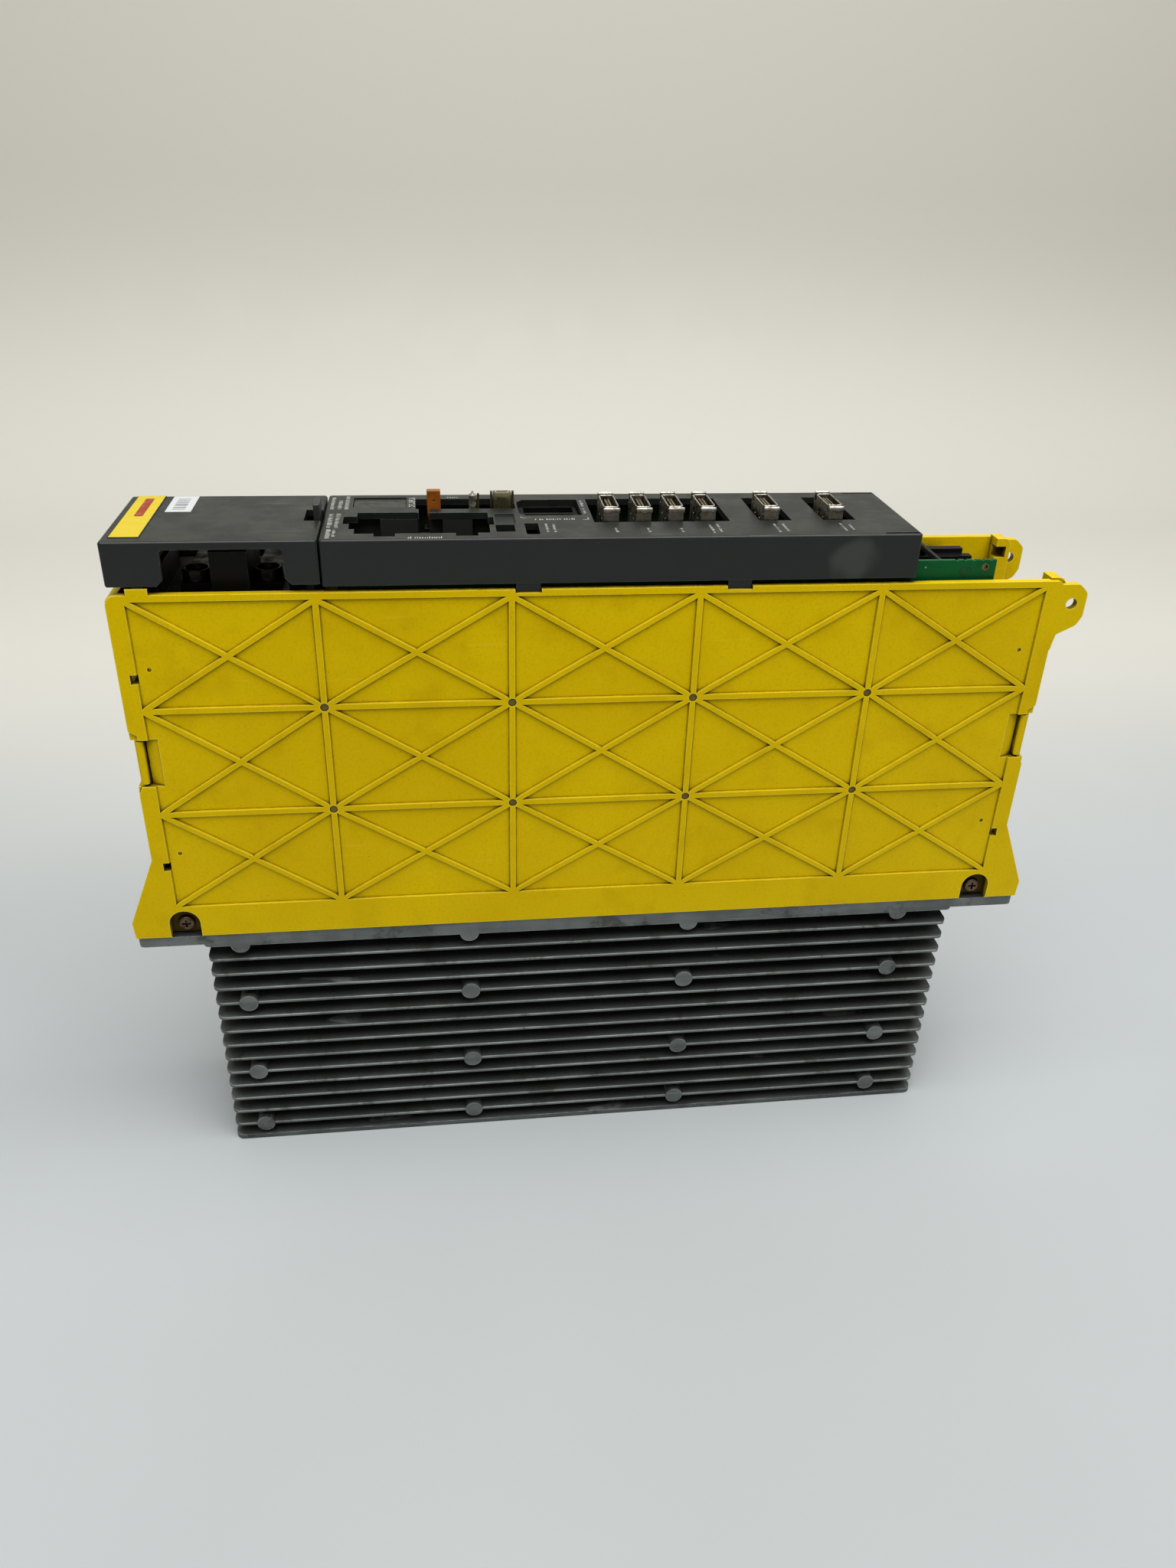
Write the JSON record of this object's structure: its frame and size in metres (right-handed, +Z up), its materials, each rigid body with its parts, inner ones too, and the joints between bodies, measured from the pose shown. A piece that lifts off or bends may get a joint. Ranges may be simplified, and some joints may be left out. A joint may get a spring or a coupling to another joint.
{
  "type": "servo drive",
  "caption": "Narrow panel-mounted servo drive: ribbed two-part case, finned heat sink, hinged terminal cover, connector face and an open motor-cable end.",
  "frame": {"origin": "middle of the fin tips, on the surface the drive stands on", "axes": "+Z up from the fin tips to the connector face, +X along the length towards the open motor-cable end with the lugs, -Y towards the control-board side"},
  "size_m": [0.381, 0.06, 0.2902],
  "materials": {
    "cast_aluminium": "as-cast, satin, slightly oxidised",
    "yellow_plastic": "moulded, satin, grimy in the corners",
    "grey_plastic": "fine textured moulding",
    "latch_plastic": "smooth moulding",
    "dark_plastic": "fine textured moulding",
    "black_plastic": "moulded",
    "brown_plastic": "moulded, slightly translucent",
    "smoked_clear": "clear moulded plastic, amber tint",
    "window_clear": "translucent light grey",
    "display_grey": "dark display face",
    "red_lamp": "translucent red",
    "yellow_label": "printed label film, blank",
    "white_sticker": "paper sticker, blank",
    "green_board": "solder mask over glass-epoxy",
    "bronzed_steel": "yellow-passivated steel screw",
    "plated_steel": "zinc plated",
    "connector_metal": "nickel-plated stamped shell",
    "tinned_pins": "tin-plated brass",
    "copper": "bare copper bar",
    "capacitor_sleeve": "shrink sleeve",
    "ferrite": "ferrite core with wound bobbin"
  },
  "bodies": {
    "chassis": {"battery_bay": "dark_plastic", "board_clip": "latch_plastic", "board_link": "black_plastic", "board_screws": "plated_steel", "board_standoffs": "plated_steel", "case_screws": "bronzed_steel", "charge_lamp": "red_lamp", "check_pins": "tinned_pins", "connector_board": "green_board", "control_board": "green_board", "control_chips": "black_plastic", "control_fuse": "smoked_clear", "current_sensors": "black_plastic", "dc_bus_bars": "copper", "dc_terminal_block": "black_plastic", "dc_terminal_screws": "plated_steel", "fan_frame": "black_plastic", "fan_screws": "plated_steel", "front_cover": "grey_plastic", "fuse_blades": "tinned_pins", "fuse_holder": "black_plastic", "gate_transformer": "ferrite", "heat_sink": "cast_aluminium", "hinge_pin": "plated_steel", "link_capacitor_1": "capacitor_sleeve", "link_capacitor_2": "capacitor_sleeve", "module_pins": "tinned_pins", "module_screws": "plated_steel", "motor_leads": "copper", "motor_terminal_block": "black_plastic", "motor_terminal_screws": "plated_steel", "power_board": "green_board", "power_modules": "black_plastic", "relays": "black_plastic", "setting_plug": "brown_plastic", "setting_socket": "black_plastic", "side_shell_far": "yellow_plastic", "side_shell_near": "yellow_plastic", "signal_connector_1_insert": "black_plastic", "signal_connector_1_shell": "connector_metal", "signal_connector_2_insert": "black_plastic", "signal_connector_2_shell": "connector_metal", "signal_connector_3_insert": "black_plastic", "signal_connector_3_shell": "connector_metal", "signal_connector_4_insert": "black_plastic", "signal_connector_4_shell": "connector_metal", "signal_connector_5_insert": "black_plastic", "signal_connector_5_shell": "connector_metal", "signal_connector_6_insert": "black_plastic", "signal_connector_6_shell": "connector_metal", "status_display": "display_grey", "status_window": "window_clear", "supply_connector": "black_plastic", "supply_pins": "tinned_pins", "thermal_switch": "plated_steel"},
    "terminal_cover": {"terminal_cover": "grey_plastic", "name_label": "yellow_label", "rating_sticker": "white_sticker"},
    "cover_latch": {"cover_latch": "latch_plastic"},
    "fan_rotor": {"fan_rotor": "black_plastic"}
  },
  "joints": [
    {"name": "terminal_cover_hinge", "type": "hinge", "parent": "chassis", "child": "terminal_cover", "pos_m": [-0.1725, 0, 0.2725], "axis": [0, -1, 0], "range_deg": [0, 95]},
    {"name": "cover_latch_flex", "type": "hinge", "parent": "terminal_cover", "child": "cover_latch", "pos_m": [-0.1074, 0.0005, 0.271], "axis": [0, -1, 0], "range_deg": [0, 9], "stiffness_Nm_per_rad": 0.3},
    {"name": "fan_spin", "type": "hinge", "parent": "chassis", "child": "fan_rotor", "pos_m": [-0.168, 0, 0.158], "axis": [1, 0, 0], "continuous": true}
  ]
}
